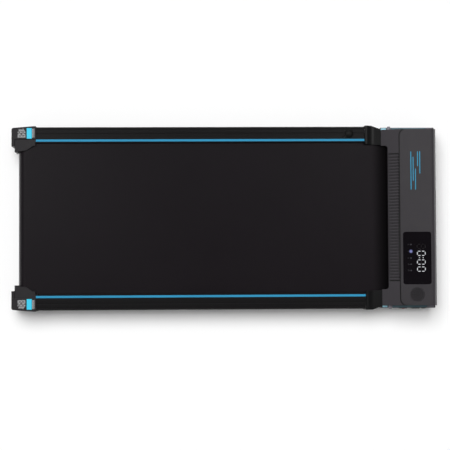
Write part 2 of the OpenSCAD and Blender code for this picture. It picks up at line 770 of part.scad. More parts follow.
// The rubber plug lies in a pocket, on a strap that bends just past the round anchor
module oil_plug() color(rubber_black) translate([port_x, port_y, rail_top_z - 2.3]) {
    rotate_extrude() polygon(concat(
        [[0, -3], [stem_r, -3], [stem_r, 0], [plug_r, 0]],
        [for (step = [0:6]) [plug_r * cos(15 * step), 1.5 + 5.5 * sin(15 * step)]]
    ));
    rotate([0, 0, tail_turn]) translate([plug_r - 3, -3, 0]) cube([tail_l - strap_root - plug_r + 3, 6, 2]);
}

module plug_anchor() color(rubber_black) translate([port_x, port_y, rail_top_z - 2.5])
    rotate([0, 0, tail_turn]) translate([tail_l, 0, 0]) cylinder(h = 2.8, r = anchor_r);

module rear_cap_outline() polygon(concat(
    [[-half_l, cap_in_y]],
    [for (step = [6:-1:0]) along_circle([-half_l + 6, half_w - 11], 6, 90 + 15 * step)],
    [[-half_l + 66, half_w], [rail_rear_x, half_w], [rail_rear_x, crease_y],
     [-half_l + cap_wall_x, crease_y], [-half_l + cap_wall_x, cap_in_y]]
));

module rear_cap_hollow() polygon([
    [-half_l + wall, cap_in_y + wall], [-half_l + wall, half_w - 11], [-half_l + 6, half_w - 8],
    [-half_l + 66, half_w - wall], [rail_rear_x + 10, half_w - wall], [rail_rear_x + 10, cap_in_y - 26],
    [-half_l + cap_wall_x + guard_wall, cap_in_y - 26],
    [-half_l + cap_wall_x + guard_wall, cap_in_y + wall]
]);

module guard_outline() polygon([
    [-half_l + cap_wall_x, guard_in_y], [-half_l + 46, guard_in_y + 6], [-half_l + 68, guard_in_y + 23],
    [rail_rear_x, guard_in_y + 32], [rail_rear_x, crease_y + 1], [-half_l + cap_wall_x, crease_y + 1]
]);

// The tongue that leads the belt's edge past the cap
module belt_guide() {
    guide_x = rail_rear_x - 12;
    guide_end_y = rail_in_y - 0.5;
    block([guide_x, guide_y, walk_z + 0.8], [guide_x + 15, guide_end_y, guard_z - wall]);
    block([guide_x, guide_y, guard_z - wall], [guide_x + 10, guide_end_y, guard_z]);
}

module rear_cap() color(cover_grey) difference() {
    cap_top_z = rail_top_z + 2;
    union() {
        translate([0, 0, cap_base_z]) linear_extrude(cap_top_z - cap_base_z) rear_cap_outline();
        translate([0, 0, guard_z - wall]) linear_extrude(wall) guard_outline();
        block([-half_l + cap_wall_x, guard_in_y, 36], [-half_l + cap_wall_x + guard_wall, cap_in_y, guard_z]);
        block([-half_l + cap_wall_x, cap_in_y, 36], [-half_l + cap_wall_x + wall, crease_y + 1, guard_z]);
        belt_guide();
    }
    translate([0, 0, 5]) linear_extrude(guard_z - wall - 5) rear_cap_hollow();
    intersection() {
        translate([0, 0, 80]) linear_extrude(cap_top_z - wall - 80) rear_cap_hollow();
        block([-half_l, crease_y + wall, 70], [0, half_w, 120]);
    }
    translate([-half_l - 5, bolt_y, roller_z]) rotate([0, 90, 0]) cylinder(h = 12, r = 8);
}

module cap_labels() color([0.25, 0.83, 0.95]) both_sides()
    block([-half_l + 45.5, crease_y + 1.5, rail_top_z + 2], [-half_l + 60.5, half_w - 6, rail_top_z + 2.3]);

// Side view of a joint cap; a drop makes the hollow inside it, open at both ends and below
module joint_cap_profile(drop) {
    rear_x = rail_front_x - (drop > 0 ? 2 * beyond : 0);
    front_x = hood_rear_x + (drop > 0 ? beyond : 0);
    base_z = tube_z + 4 - 3 * drop;
    polygon([
        [rear_x, base_z], [rear_x, rail_top_z + 1 - drop],
        [rail_front_x + 2, rail_top_z + 4 - drop], [rail_front_x + 8, rail_top_z + 4 - drop],
        [rail_front_x + 16, rail_top_z - 1 - drop], [rail_front_x + 24, rail_top_z - 2.5 - drop],
        [rail_front_x + 32, rail_top_z - 2.5 - drop], [front_x, ramp_z - drop], [front_x, base_z]
    ]);
}

module joint_cap_plan(inset) {
    rear_x = rail_front_x - (inset > 0 ? 5 : 0);
    front_x = hood_rear_x + (inset > 0 ? 5 : 0);
    polygon([
        [rear_x, joint_in_y + 3 - inset * 4], [front_x, joint_in_y - inset * 4],
        [front_x, hood_half_w + 1.5 - inset], [hood_rear_x - 8, hood_half_w + 5 - inset],
        [hood_rear_x - 29, half_w - inset], [rear_x, half_w - inset]
    ]);
}

module joint_cap() color([0.10, 0.10, 0.11]) difference() {
    intersection() {
        linear_extrude(overall_h) joint_cap_plan(0);
        across(joint_in_y - 18, half_w + 5) joint_cap_profile(0);
    }
    intersection() {
        linear_extrude(overall_h) joint_cap_plan(wall);
        across(joint_in_y - 28, half_w + 5) joint_cap_profile(wall);
    }
}

// ---- Wheels and screws ----

module wheel() color(rubber_black) difference() {
    union() {
        bar(wheel_x, wheel_z, wheel_r, wheel_y + 1.5, wheel_y + wheel_w - 1.5);
        bar(wheel_x, wheel_z, wheel_r - 1.5, wheel_y, wheel_y + wheel_w);
    }
    bar(wheel_x, wheel_z, wheel_r - 7, wheel_y - beyond, wheel_y + 4);
    bar(wheel_x, wheel_z, wheel_r - 7, wheel_y + wheel_w - 4, wheel_y + wheel_w + beyond);
    bar(wheel_x, wheel_z, wheel_axle_r + running, wheel_y - beyond, wheel_y + wheel_w + beyond);
}

module wheel_axles() color(bright_steel) both_sides()
    bar(wheel_x, wheel_z, wheel_axle_r, wheel_y - 6, wheel_y + wheel_w + 6.5);

module cover_screws() color(bright_steel) {
    for (x = [half_l - 150, half_l - 70], y = [-190, -60, 60, 190])
        translate([x, y, pan_z - 2]) cylinder(h = 2, r = 4);
}

frame_tube();  // frame_tube_left
other_side() frame_tube();  // frame_tube_right
crossbars();
motor_tray();
rear_brackets();
deck_board();
deck_cushions();
deck_screws();
running_belt();
front_axle();
roller_tube(front_roller_x);  // front_roller
roller_bearings(front_roller_x, front_axle_r);  // front_roller_bearings
roller_pulley();
rear_axle();
roller_tube(rear_roller_x);  // rear_roller
roller_bearings(rear_roller_x, rear_axle_r);  // rear_roller_bearings
tension_bolt();  // tension_bolt_left
other_side() tension_bolt();  // tension_bolt_right
motor_can();
motor_end_bells();
motor_cradle();
motor_rotor();
motor_pulley();
motor_flywheel();
drive_belt();
speed_sensor();
controller_board();
controller_heatsink();
wiring_harness();
power_inlet();
switch_frame();
switch_rocker();
breaker_body();
breaker_button();
display_board();
display_lens();
display_digits();
speaker_driver();
speaker_grille();
hood_shell();
console_panel();
base_pan();
side_strips();
strip_lenses();
strip_fittings();
joint_cap();  // joint_cap_left
other_side() joint_cap();  // joint_cap_right
foot_rail_left();
other_side() foot_rail();  // foot_rail_right
rail_stripes();
rear_cap();  // rear_cap_left
other_side() rear_cap();  // rear_cap_right
cap_labels();
oil_plug();
plug_anchor();
rubber_feet();
wheel();  // wheel_left
other_side() wheel();  // wheel_right
wheel_axles();
cover_screws();
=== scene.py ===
# %% [markdown]
# # A low walking treadmill, finished in Blender
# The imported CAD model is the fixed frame: every roller, tube, cover and screw already has its true
# place and size. This lesson gives those parts their looks. It softens the edges of the moulded
# covers, adds the vent ribs, the display's lamps and the printed marks, and builds each finish
# from procedural nodes. All lengths are in metres.

# %% Load the frame
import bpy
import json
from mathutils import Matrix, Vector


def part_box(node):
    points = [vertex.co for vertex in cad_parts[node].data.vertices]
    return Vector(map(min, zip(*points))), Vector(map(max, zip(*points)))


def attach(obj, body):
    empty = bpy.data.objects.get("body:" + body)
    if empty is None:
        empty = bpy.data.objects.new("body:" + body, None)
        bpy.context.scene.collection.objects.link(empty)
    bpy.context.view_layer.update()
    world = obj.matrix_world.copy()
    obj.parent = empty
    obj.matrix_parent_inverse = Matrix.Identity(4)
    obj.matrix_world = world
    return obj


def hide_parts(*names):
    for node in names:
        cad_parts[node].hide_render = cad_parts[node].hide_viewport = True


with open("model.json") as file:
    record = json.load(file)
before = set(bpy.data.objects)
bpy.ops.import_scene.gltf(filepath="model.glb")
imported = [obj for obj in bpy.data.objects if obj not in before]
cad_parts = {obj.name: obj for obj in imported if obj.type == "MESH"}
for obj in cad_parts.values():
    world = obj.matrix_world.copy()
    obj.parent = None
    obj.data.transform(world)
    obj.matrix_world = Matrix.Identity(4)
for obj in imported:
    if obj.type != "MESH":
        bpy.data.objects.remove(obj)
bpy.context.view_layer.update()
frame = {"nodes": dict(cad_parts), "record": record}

# %% Modules, and the boxes that many cells measure from
import json
import math

import bmesh
import bpy
from mathutils import Matrix, Vector

MM = 0.001
scene = bpy.context.scene
nodes = frame["nodes"]
hood_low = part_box("hood_shell")[0]
panel_low, panel_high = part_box("console_panel")
lens_low, lens_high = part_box("display_lens")

# %% [markdown]
# ## The view and the light
# The machine lies flat and is seen from almost straight above, so the camera hangs over its middle
# with a long lens. A black machine on a white floor needs light that reaches the floor but doesn't
# mirror in the covers. So the main light is a broad, soft source that glossy rays don't see. It
# leans, which drops a soft shadow beside the machine and ahead of its hood, and a second, much
# wider one fills that shadow a little. Lamps that light no matt surface do the rest: they draw
# the bright lines along the bevels and a slow sheen on the belt, and leave the shadow alone.

# %% Camera
camera_data = bpy.data.cameras.new("camera")
camera_data.sensor_width = 36
camera_data.lens = 106.95
camera_data.clip_end = 50
camera = bpy.data.objects.new("camera", camera_data)
camera.location = (-0.121, -0.161, 4.1)
camera.rotation_euler = [math.radians(angle) for angle in (2.01, -1.74, -0.285)]
scene.collection.objects.link(camera)
scene.camera = camera


# %% Lamps
def aimed(name, kind, place, aim=(0, 0, 0)):
    """A lamp of some kind at place that faces aim."""
    data = bpy.data.lights.new(name, kind)
    lamp = bpy.data.objects.new(name, data)
    lamp.location = place
    lamp.rotation_euler = (Vector(aim) - Vector(place)).to_track_quat("-Z", "Y").to_euler()
    scene.collection.objects.link(lamp)
    return lamp


for name, place, degrees, strength in (("overhead", (-0.62, 1.12, 4.0), 40, 2.95),
                                       ("fill", (0, 0, 4), 110, 0.38)):
    broad = aimed(name, "SUN", place)
    broad.data.energy = strength
    broad.data.angle = math.radians(degrees)
    broad.visible_glossy = False
for name, place, size, watts in (("left_lamp", (-1.45, 0.75, 3.3), 0.8, 6.5),
                                 ("right_lamp", (1.35, 0.75, 3.3), 0.8, 6.0),
                                 ("low_left_lamp", (-3.0, 0.3, 3.2), 1.1, 5),
                                 ("back_lamp", (0.1, 2.3, 3.1), 1.2, 3)):
    lamp = aimed(name, "AREA", place)
    lamp.data.size = size
    lamp.data.energy = watts
    lamp.visible_diffuse = False

# %% Sky and floor
world = bpy.data.worlds.new("studio")
world.use_nodes = True
world.node_tree.nodes["Background"].inputs["Color"].default_value = (1, 1, 1, 1)
world_tree = world.node_tree
seen = world_tree.nodes.new("ShaderNodeLightPath").outputs["Is Camera Ray"]
sky_light, sky_seen = 0.06, 1.0
sky = world_tree.nodes.new("ShaderNodeMapRange")
sky.inputs["To Min"].default_value = sky_light
sky.inputs["To Max"].default_value = sky_seen
world_tree.links.new(seen, sky.inputs["Value"])
world_tree.links.new(sky.outputs["Result"], world_tree.nodes["Background"].inputs["Strength"])
scene.world = world
scene.view_settings.view_transform = "Standard"

floor_half = 12
floor_corners = [(x * floor_half, y * floor_half, 0) for x, y in ((-1, -1), (1, -1), (1, 1), (-1, 1))]
floor_mesh = bpy.data.meshes.new("floor")
floor_mesh.from_pydata(floor_corners, [], [(0, 1, 2, 3)])
floor = bpy.data.objects.new("floor", floor_mesh)
scene.collection.objects.link(floor)
print("camera at", tuple(camera.location), "lens", camera_data.lens)

# %% [markdown]
# ## Shader groups
# Some effects come back in many finishes, so each is one node group with named inputs: the grain
# of a moulded surface, the fine lines of something drawn, extruded or ground, the pale rubbing of
# edges, which on the joint caps is also a painted highlight, and the dust that settles on what faces
# up. A group only hands out colours, masks and heights. The Principled shader and its plain numbers
# stay in each material, where an export can read them.


# %% Helpers for node trees
def add(tree, kind, inputs=(), **settings):
    """Adds a node; settings are its properties, and inputs fills its sockets by name or number."""
    node = tree.nodes.new(kind)
    for name, value in settings.items():
        setattr(node, name, value)
    for name, value in dict(inputs).items():
        if isinstance(value, bpy.types.NodeSocket):
            tree.links.new(value, node.inputs[name])
        else:
            node.inputs[name].default_value = value
    return node


def math_node(tree, operation, a, b):
    """The output of a Math node on a and b."""
    return add(tree, "ShaderNodeMath", {0: a, 1: b}, operation=operation).outputs[0]


def new_group(name, kind, inputs, outputs):
    """A node group whose inputs are (name, socket type, default value) and outputs (name, type)."""
    tree = bpy.data.node_groups.new(name, kind)
    for socket_name, socket_type, value in inputs:
        socket = tree.interface.new_socket(name=socket_name, in_out="INPUT", socket_type=socket_type)
        if value is not None:
            socket.default_value = value
    for socket_name, socket_type in outputs:
        tree.interface.new_socket(name=socket_name, in_out="OUTPUT", socket_type=socket_type)
    return tree, add(tree, "NodeGroupInput"), add(tree, "NodeGroupOutput")


COLOR, FLOAT, VECTOR = "NodeSocketColor", "NodeSocketFloat", "NodeSocketVector"
PATTERN_OUTPUTS = [("Color", COLOR), ("Roughness", FLOAT), ("Height", FLOAT)]


# %% Moulded grain and drawn lines: two patterns with the same outputs
def pattern_group(name, extra_inputs, scale_vector, noise_scale, contrast):
    """A pattern whose noise shades the colour, spreads the roughness and gives a height."""
    tree, given, out = new_group(name, "ShaderNodeTree", [
        ("Color", COLOR, (0.03, 0.03, 0.03, 1)), ("Roughness", FLOAT, 0.5),
        ("Spread", FLOAT, 0.1)] + extra_inputs, PATTERN_OUTPUTS)
    place = add(tree, "ShaderNodeTexCoord").outputs["Object"]
    if scale_vector:
        place = add(tree, "ShaderNodeVectorMath", {0: place, 1: given.outputs[scale_vector]},
                    operation="MULTIPLY").outputs[0]
    fine_scale = given.outputs[noise_scale] if isinstance(noise_scale, str) else noise_scale
    fine = add(tree, "ShaderNodeTexNoise", {"Vector": place, "Scale": fine_scale, "Detail": 2})
    broad = fine if scale_vector else add(tree, "ShaderNodeTexNoise", {
        "Vector": place, "Scale": 7, "Detail": 4})
    tone = add(tree, "ShaderNodeMapRange", {
        "Value": broad.outputs["Fac"], "From Min": 0.3, "From Max": 0.7,
        "To Min": 1 - contrast, "To Max": 1 + contrast})
    shaded = add(tree, "ShaderNodeVectorMath", {0: given.outputs["Color"], "Scale": tone.outputs["Result"]},
                 operation="SCALE")
    centred = math_node(tree, "SUBTRACT", broad.outputs["Fac"], 0.5)
    spread = math_node(tree, "MULTIPLY", given.outputs["Spread"], centred)
    tree.links.new(shaded.outputs["Vector"], out.inputs["Color"])
    tree.links.new(math_node(tree, "ADD", given.outputs["Roughness"], spread), out.inputs["Roughness"])
    tree.links.new(fine.outputs["Fac"], out.inputs["Height"])
    return tree


grain = pattern_group("moulded grain", [("Grains per metre", FLOAT, 1400)], None, "Grains per metre", 0.05)
lines = pattern_group("drawn lines", [("Stretch", VECTOR, (4, 700, 700))], "Stretch", 1.0, 0.12)

# %% Lighter edges: a mask that is 1 where the surface turns sharply. The lift stands for rubbing, and where it is high, as on the joint caps, also for a painted highlight
edge, edge_in, edge_out = new_group(
    "rubbed and highlit edges", "ShaderNodeTree",
    [("Color", COLOR, (0.03, 0.03, 0.03, 1)), ("Lift", FLOAT, 1.6), ("Radius", FLOAT, 0.0012)],
    [("Color", COLOR)])
flat = add(edge, "ShaderNodeNewGeometry").outputs["Normal"]
round_normal = add(edge, "ShaderNodeBevel", {"Radius": edge_in.outputs["Radius"]}, samples=4).outputs["Normal"]
agree = add(edge, "ShaderNodeVectorMath", {0: flat, 1: round_normal}, operation="DOT_PRODUCT").outputs["Value"]
turned = add(edge, "ShaderNodeMapRange", {"Value": agree, "From Min": 0.995, "From Max": 0.93})
scuff = add(edge, "ShaderNodeTexNoise", {
    "Vector": add(edge, "ShaderNodeTexCoord").outputs["Object"], "Scale": 60, "Detail": 5})
rub_and_highlight_mask = math_node(edge, "MULTIPLY", turned.outputs["Result"], scuff.outputs["Fac"])
lifted = add(edge, "ShaderNodeVectorMath", {0: edge_in.outputs["Color"], "Scale": edge_in.outputs["Lift"]},
             operation="SCALE")
rubbed = add(edge, "ShaderNodeMix", {"Factor": rub_and_highlight_mask, 6: edge_in.outputs["Color"], 7: lifted.outputs[0]},
             data_type="RGBA")
edge.links.new(rubbed.outputs[2], edge_out.inputs["Color"])

# %% Settled dust: a pale film, patchy, only on what faces up
dust, dust_in, dust_out = new_group(
    "settled dust", "ShaderNodeTree",
    [("Color", COLOR, (0.03, 0.03, 0.03, 1)), ("Roughness", FLOAT, 0.5), ("Amount", FLOAT, 0.02)],
    [("Color", COLOR), ("Roughness", FLOAT)])
normal_axes = add(dust, "ShaderNodeSeparateXYZ", {
    "Vector": add(dust, "ShaderNodeNewGeometry").outputs["Normal"]})
patch = add(dust, "ShaderNodeTexNoise", {
    "Vector": add(dust, "ShaderNodeTexCoord").outputs["Object"], "Scale": 22, "Detail": 6, "Roughness": 0.65})
patchy = add(dust, "ShaderNodeMapRange", {"Value": patch.outputs["Fac"], "From Min": 0.42, "From Max": 0.75})
upward = add(dust, "ShaderNodeMapRange", {"Value": normal_axes.outputs["Z"], "From Min": 0.5})
settled = math_node(dust, "MULTIPLY", patchy.outputs["Result"], upward.outputs["Result"])
film = math_node(dust, "MULTIPLY", settled, dust_in.outputs["Amount"])
dusted = add(dust, "ShaderNodeMix", {"Factor": film, 6: dust_in.outputs["Color"], 7: (0.42, 0.40, 0.38, 1)},
             data_type="RGBA")
dust.links.new(dusted.outputs[2], dust_out.inputs["Color"])
dust.links.new(math_node(dust, "ADD", dust_in.outputs["Roughness"], film), dust_out.inputs["Roughness"])

# %% Running-surface weave: crossed ribs pressed into the rubber
weave, weave_in, weave_out = new_group(
    "pressed weave", "ShaderNodeTree", [("Ribs per metre", FLOAT, 600)], [("Height", FLOAT)])
axes = add(weave, "ShaderNodeSeparateXYZ", {"Vector": add(weave, "ShaderNodeTexCoord").outputs["Object"]})
ribs = []
for operation in ("ADD", "SUBTRACT"):
    slanted = math_node(weave, operation, axes.outputs["X"], axes.outputs["Y"])
    turns = math_node(weave, "MULTIPLY", slanted, weave_in.outputs["Ribs per metre"])
    phase = math_node(weave, "MULTIPLY", turns, math.pi)
    ribs.append(math_node(weave, "ABSOLUTE", math_node(weave, "SINE", phase, 0.0), 0.0))
weave.links.new(math_node(weave, "MINIMUM", *ribs), weave_out.inputs["Height"])
print("shader groups:", [tree.name for tree in (grain, lines, edge, dust, weave)])

# %% [markdown]
# ## Finishes
# One function makes a finish: a pattern, then lighter edges (rubbing, and on the joint caps also a painted
# highlight), then a little dust, then the
# Principled shader. What is the same all over, such as the coat or the specular level, is a plain
# number on the shader's own socket. The belt's rubber adds the pressed weave, and its colour is
# painted darker where it runs in under the hood: painted shade of the hood, with a rougher surface there.


# %% The function that makes a finish
def finish(name, color, roughness, pattern=grain, dustiness=0.0, lift=1.0, bump=0.05, reach=0.0002,
           metallic=0.0, specular=0.5, coat=0.0, **pattern_inputs):
    """A finish; pattern_inputs go to its pattern's sockets, with _ for a space."""
    material = bpy.data.materials.new(name)
    material.use_nodes = True
    tree = material.node_tree
    shader = tree.nodes["Principled BSDF"]
    numbers = {socket.replace("_", " "): value for socket, value in pattern_inputs.items()}
    base = add(tree, "ShaderNodeGroup", {"Color": (*color, 1), "Roughness": roughness, **numbers},
               node_tree=pattern)
    tinted, rough = base.outputs["Color"], base.outputs["Roughness"]
    if lift > 1:
        rub = add(tree, "ShaderNodeGroup", {"Color": tinted, "Lift": lift}, node_tree=edge)
        tinted = rub.outputs["Color"]
    if dustiness:
        settle = add(tree, "ShaderNodeGroup", {"Color": tinted, "Roughness": rough, "Amount": dustiness},
                     node_tree=dust)
        tinted, rough = settle.outputs["Color"], settle.outputs["Roughness"]
    tree.links.new(tinted, shader.inputs["Base Color"])
    tree.links.new(rough, shader.inputs["Roughness"])
    relief = add(tree, "ShaderNodeBump", {
        "Height": base.outputs["Height"], "Strength": bump, "Distance": reach})
    tree.links.new(relief.outputs["Normal"], shader.inputs["Normal"])
    shader.inputs["Metallic"].default_value = metallic
    shader.inputs["Specular IOR Level"].default_value = specular
    shader.inputs["Coat Weight"].default_value = coat
    shader.inputs["Coat Roughness"].default_value = 0.08
    return material


def lit(material, color, strength):
    """Makes a finish glow."""
    shader = material.node_tree.nodes["Principled BSDF"]
    shader.inputs["Emission Color"].default_value = (*color, 1)
    shader.inputs["Emission Strength"].default_value = strength
    return material


# %% Plastics, rubber, metal, wood and lamps
ALONG_X = (4, 700, 700)
ALONG_Y = (700, 4, 700)
paint = {
    "cover_plastic": finish("cover plastic", (0.040, 0.0365, 0.0415), 0.44, dustiness=0.01,
                            lift=1.5, bump=0.25, specular=0.35),
    "panel_plastic": finish("panel plastic", (0.037, 0.034, 0.038), 0.38, dustiness=0.01,
                            lift=1.4, bump=0.2, specular=0.45),
    # The joint caps' high lift is rubbing and also a painted highlight along their ridges.
    "joint_plastic": finish("joint plastic", (0.0068, 0.0068, 0.0071), 0.34, lift=2.6, bump=0.15,
                            specular=0.4),
    "cap_plastic": finish("cap plastic", (0.022, 0.0205, 0.0225), 0.45, dustiness=0.01,
                          lift=1.7, bump=0.25, specular=0.35),
    "belt_rubber": finish("belt rubber", (0.0062, 0.0042, 0.0060), 0.34, bump=0.2, specular=0.35),
    "rail_alloy": finish("rail alloy", (0.0070, 0.0066, 0.0071), 0.40, pattern=lines,
                         Stretch=ALONG_X, bump=0.05, lift=1.3, specular=0.3),
    "stripe_blue": finish("stripe blue", (0.030, 0.27, 0.47), 0.40, bump=0.05, specular=0.3),
    "strip_teal": finish("strip teal", (0.085, 0.155, 0.185), 0.30, bump=0.05),
    "strip_light": finish("strip light", (0.33, 0.62, 0.74), 0.25, bump=0.03),
    "fitting_grey": finish("fitting grey", (0.20, 0.19, 0.22), 0.40, bump=0.1),
    "label_cyan": finish("label cyan", (0.045, 0.60, 0.84), 0.35, bump=0.03, coat=0.2),
    "black_plastic": finish("black plastic", (0.006, 0.006, 0.007), 0.40, lift=1.8, bump=0.1,
                            specular=0.4),
    "black_rubber": finish("black rubber", (0.007, 0.007, 0.007), 0.42, bump=0.15, specular=0.45),
    "red_plastic": finish("red plastic", (0.62, 0.02, 0.015), 0.18, bump=0.02, coat=0.4),
    "white_plastic": finish("white plastic", (0.70, 0.70, 0.68), 0.30, bump=0.03),
    "circuit_green": finish("circuit green", (0.015, 0.11, 0.045), 0.35, bump=0.1),
    "display_black": finish("display black", (0.0045, 0.0035, 0.0048), 0.10, bump=0.0,
                            specular=0.25),
    "digit_white": lit(finish("digit white", (0.40, 0.41, 0.43), 0.4), (0.90, 0.92, 0.97), 0.24),
    "cable_black": finish("cable black", (0.012, 0.012, 0.012), 0.45, bump=0.1),
    "frame_paint": finish("frame paint", (0.012, 0.012, 0.013), 0.40, bump=0.4, reach=0.0003,
                          lift=1.8, Grains_per_metre=600),
    "steel": finish("zinc steel", (0.60, 0.61, 0.63), 0.28, pattern=lines, Stretch=ALONG_Y,
                    metallic=1.0),
    "cast_alloy": finish("cast alloy", (0.48, 0.49, 0.51), 0.42, metallic=1.0, bump=0.5,
                         reach=0.0004, Grains_per_metre=900),
    "deck_wood": finish("deck board", (0.10, 0.065, 0.04), 0.50, pattern=lines,
                        Stretch=(6, 220, 220), bump=0.2),
}
ghost_grey = finish("unlit segment", (0.0062, 0.0054, 0.0065), 0.3, bump=0.0)
print_grey = finish("printed grey", (0.50, 0.51, 0.52), 0.4, bump=0.05)

# %% The belt's weave, and painted shade on its end under the hood
belt_tree = paint["belt_rubber"].node_tree
belt_shader = belt_tree.nodes["Principled BSDF"]
lip_x = hood_low.x + 18.5 * MM  # the edge of the hood over the belt
# Painted shade: the belt's colour fades darker towards the hood's lip, where the hood shades it, and its
# roughness rises there.
painted_shade_start_x = lip_x - 52 * MM
painted_shade_factor, dark_roughness = 0.12, 0.55
place_axes = add(belt_tree, "ShaderNodeSeparateXYZ", {
    "Vector": add(belt_tree, "ShaderNodeTexCoord").outputs["Object"]})
shade = add(belt_tree, "ShaderNodeMapRange", {
    "Value": place_axes.outputs["X"], "From Min": painted_shade_start_x, "From Max": lip_x,
    "To Min": 1.0, "To Max": painted_shade_factor}, interpolation_type="SMOOTHSTEP")
old_color = belt_shader.inputs["Base Color"].links[0].from_socket
darker = add(belt_tree, "ShaderNodeVectorMath", {0: old_color, "Scale": shade.outputs["Result"]},
             operation="SCALE")
belt_tree.links.new(darker.outputs[0], belt_shader.inputs["Base Color"])
old_roughness = belt_shader.inputs["Roughness"].links[0].from_socket
darkened = math_node(belt_tree, "SUBTRACT", 1.0, shade.outputs["Result"])
duller = math_node(belt_tree, "MULTIPLY", darkened, dark_roughness)
belt_tree.links.new(math_node(belt_tree, "ADD", old_roughness, duller), belt_shader.inputs["Roughness"])
weave_node = add(belt_tree, "ShaderNodeGroup", {"Ribs per metre": 600}, node_tree=weave)
relief = belt_shader.inputs["Normal"].links[0].from_node
second = add(belt_tree, "ShaderNodeBump", {
    "Height": weave_node.outputs["Height"], "Strength": 0.3, "Distance": 0.00025,
    "Normal": relief.outputs["Normal"]})
belt_tree.links.new(second.outputs["Normal"], belt_shader.inputs["Normal"])

# %% The deck board: black laminate on its faces, bare board at its cut edges
deck_tree = paint["deck_wood"].node_tree
deck_shader = deck_tree.nodes["Principled BSDF"]
deck_normal = add(deck_tree, "ShaderNodeSeparateXYZ", {
    "Vector": add(deck_tree, "ShaderNodeTexCoord").outputs["Normal"]})
facing = math_node(deck_tree, "ABSOLUTE", deck_normal.outputs["Z"], 0.0)
laminate = add(deck_tree, "ShaderNodeMapRange", {"Value": facing, "From Min": 0.6, "From Max": 0.8})
bare = deck_shader.inputs["Base Color"].links[0].from_socket
coated = add(deck_tree, "ShaderNodeMix", {
    "Factor": laminate.outputs["Result"], 6: bare, 7: (0.004, 0.004, 0.005, 1)}, data_type="RGBA")
deck_tree.links.new(coated.outputs[2], deck_shader.inputs["Base Color"])

# %% Every CAD part takes the finish of its slot
for subpart in frame["record"]["subparts"]:
    part = nodes[subpart["node"]]
    part.data.materials.clear()
    part.data.materials.append(paint[subpart["material_slot"]])

floor_paint = bpy.data.materials.new("floor white")
floor_paint.use_nodes = True
floor_shader = floor_paint.node_tree.nodes["Principled BSDF"]
floor_shader.inputs["Base Color"].default_value = (0.95, 0.95, 0.95, 1)
floor_shader.inputs["Roughness"].default_value = 0.9
floor_shader.inputs["Specular IOR Level"].default_value = 0.0
floor_mesh.materials.append(floor_paint)
print("finishes:", len(paint))

# %% [markdown]
# ## Softened covers
# A moulded cover never has a knife edge: its corners are rounded by a millimetre or so, and that
# rounding is what catches the light. The CAD node's own mesh stays untouched. A copy of it is
# merged, its flat triangles are joined into whole faces, and a bevel rounds every sharp edge.
# Where a cover has a row of holes, such as the hood's air slots, they are cut after the
# rounding, so the bevel never has to find its way round them.


# %% Functions that copy and soften a CAD part
def evaluated(piece):
    """The piece's mesh with its modifiers applied; the piece itself is removed."""
    graph = bpy.context.evaluated_depsgraph_get()
    mesh = bpy.data.meshes.new_from_object(piece.evaluated_get(graph))
    bpy.data.objects.remove(piece)
    return mesh


def draft_of(mesh):
    """An object that carries the mesh while modifiers work on it."""
    draft = bpy.data.objects.new(mesh.name + "_draft", mesh)
    scene.collection.objects.link(draft)
    return draft


def smoothed(mesh, degrees):
    """Smooth shading up to an angle; large faces keep their own direction, so they stay flat."""
    mesh.shade_smooth()
    mesh.set_sharp_from_angle(angle=math.radians(degrees))
    draft = draft_of(mesh)
    weighted = draft.modifiers.new("weights", "WEIGHTED_NORMAL")
    weighted.keep_sharp = True
    return evaluated(draft)


def add_piece(name, mesh, slot, body="root", replaced=(), material=None, smooth=None):
    """Links a finished mesh, gives it its finish, puts it on its body and hides the CAD nodes it stands in
    for.
    """
    mesh.materials.clear()
    mesh.materials.append(material or paint[slot])
    mesh.polygons.foreach_set("material_index", [0] * len(mesh.polygons))
    if smooth is not None:
        mesh = smoothed(mesh, smooth)
    piece = bpy.data.objects.new(name, mesh)
    scene.collection.objects.link(piece)
    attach(piece, body)
    if replaced:
        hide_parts(*replaced)
    return piece


def weighted_copy(node, limit, share, rounder):
    """The CAD node's mesh, cleaned; an edge's weight says how much of the rounding it gets."""
    work = bmesh.new()
    work.from_mesh(nodes[node].data)
    bmesh.ops.remove_doubles(work, verts=work.verts, dist=0.00001)
    bmesh.ops.dissolve_limit(work, angle_limit=math.radians(0.5), verts=work.verts, edges=work.edges)
    weight = work.edges.layers.float.new("bevel_weight_edge")
    for seam in work.edges:
        if len(seam.link_faces) == 2 and seam.calc_face_angle() > math.radians(limit):
            middle = (seam.verts[0].co + seam.verts[1].co) / 2
            seam[weight] = 1.0 if rounder and rounder(middle) else share
    mesh = bpy.data.meshes.new(node + "_soft")
    work.to_mesh(mesh)
    work.free()
    return mesh


def soft_mesh(node, width, segments=3, limit=30, cutter=None, wide=None, rounder=None):
    """A copy of a CAD node with its edges rounded to width, or to wide where rounder(middle) is
    true, and then cut by a mesh of holes."""
    wide = wide or width
    draft = draft_of(weighted_copy(node, limit, width / wide, rounder))
    bevel = draft.modifiers.new("rounding", "BEVEL")
    bevel.width = wide
    bevel.segments = segments
    bevel.limit_method = "WEIGHT"
    if cutter:
        tool = draft_of(cutter)
        cut = draft.modifiers.new("holes", "BOOLEAN")
        cut.operation = "DIFFERENCE"
        cut.solver = "EXACT"
        cut.object = tool
    mesh = evaluated(draft)
    if cutter:
        bpy.data.objects.remove(tool)
    return mesh


def soften(node, width, slot, body="root", **settings):
    """Replaces a CAD node by its softened copy."""
    return add_piece(node + "_finished", soft_mesh(node, width, **settings), slot, body, (node,), smooth=32)


# %% [markdown]
# ## The console's own frame
# The console panel is tilted a few degrees. Everything printed or lit on it is drawn flat, in a
# frame whose X runs up the panel and whose Z stands off it, and is then turned into place.

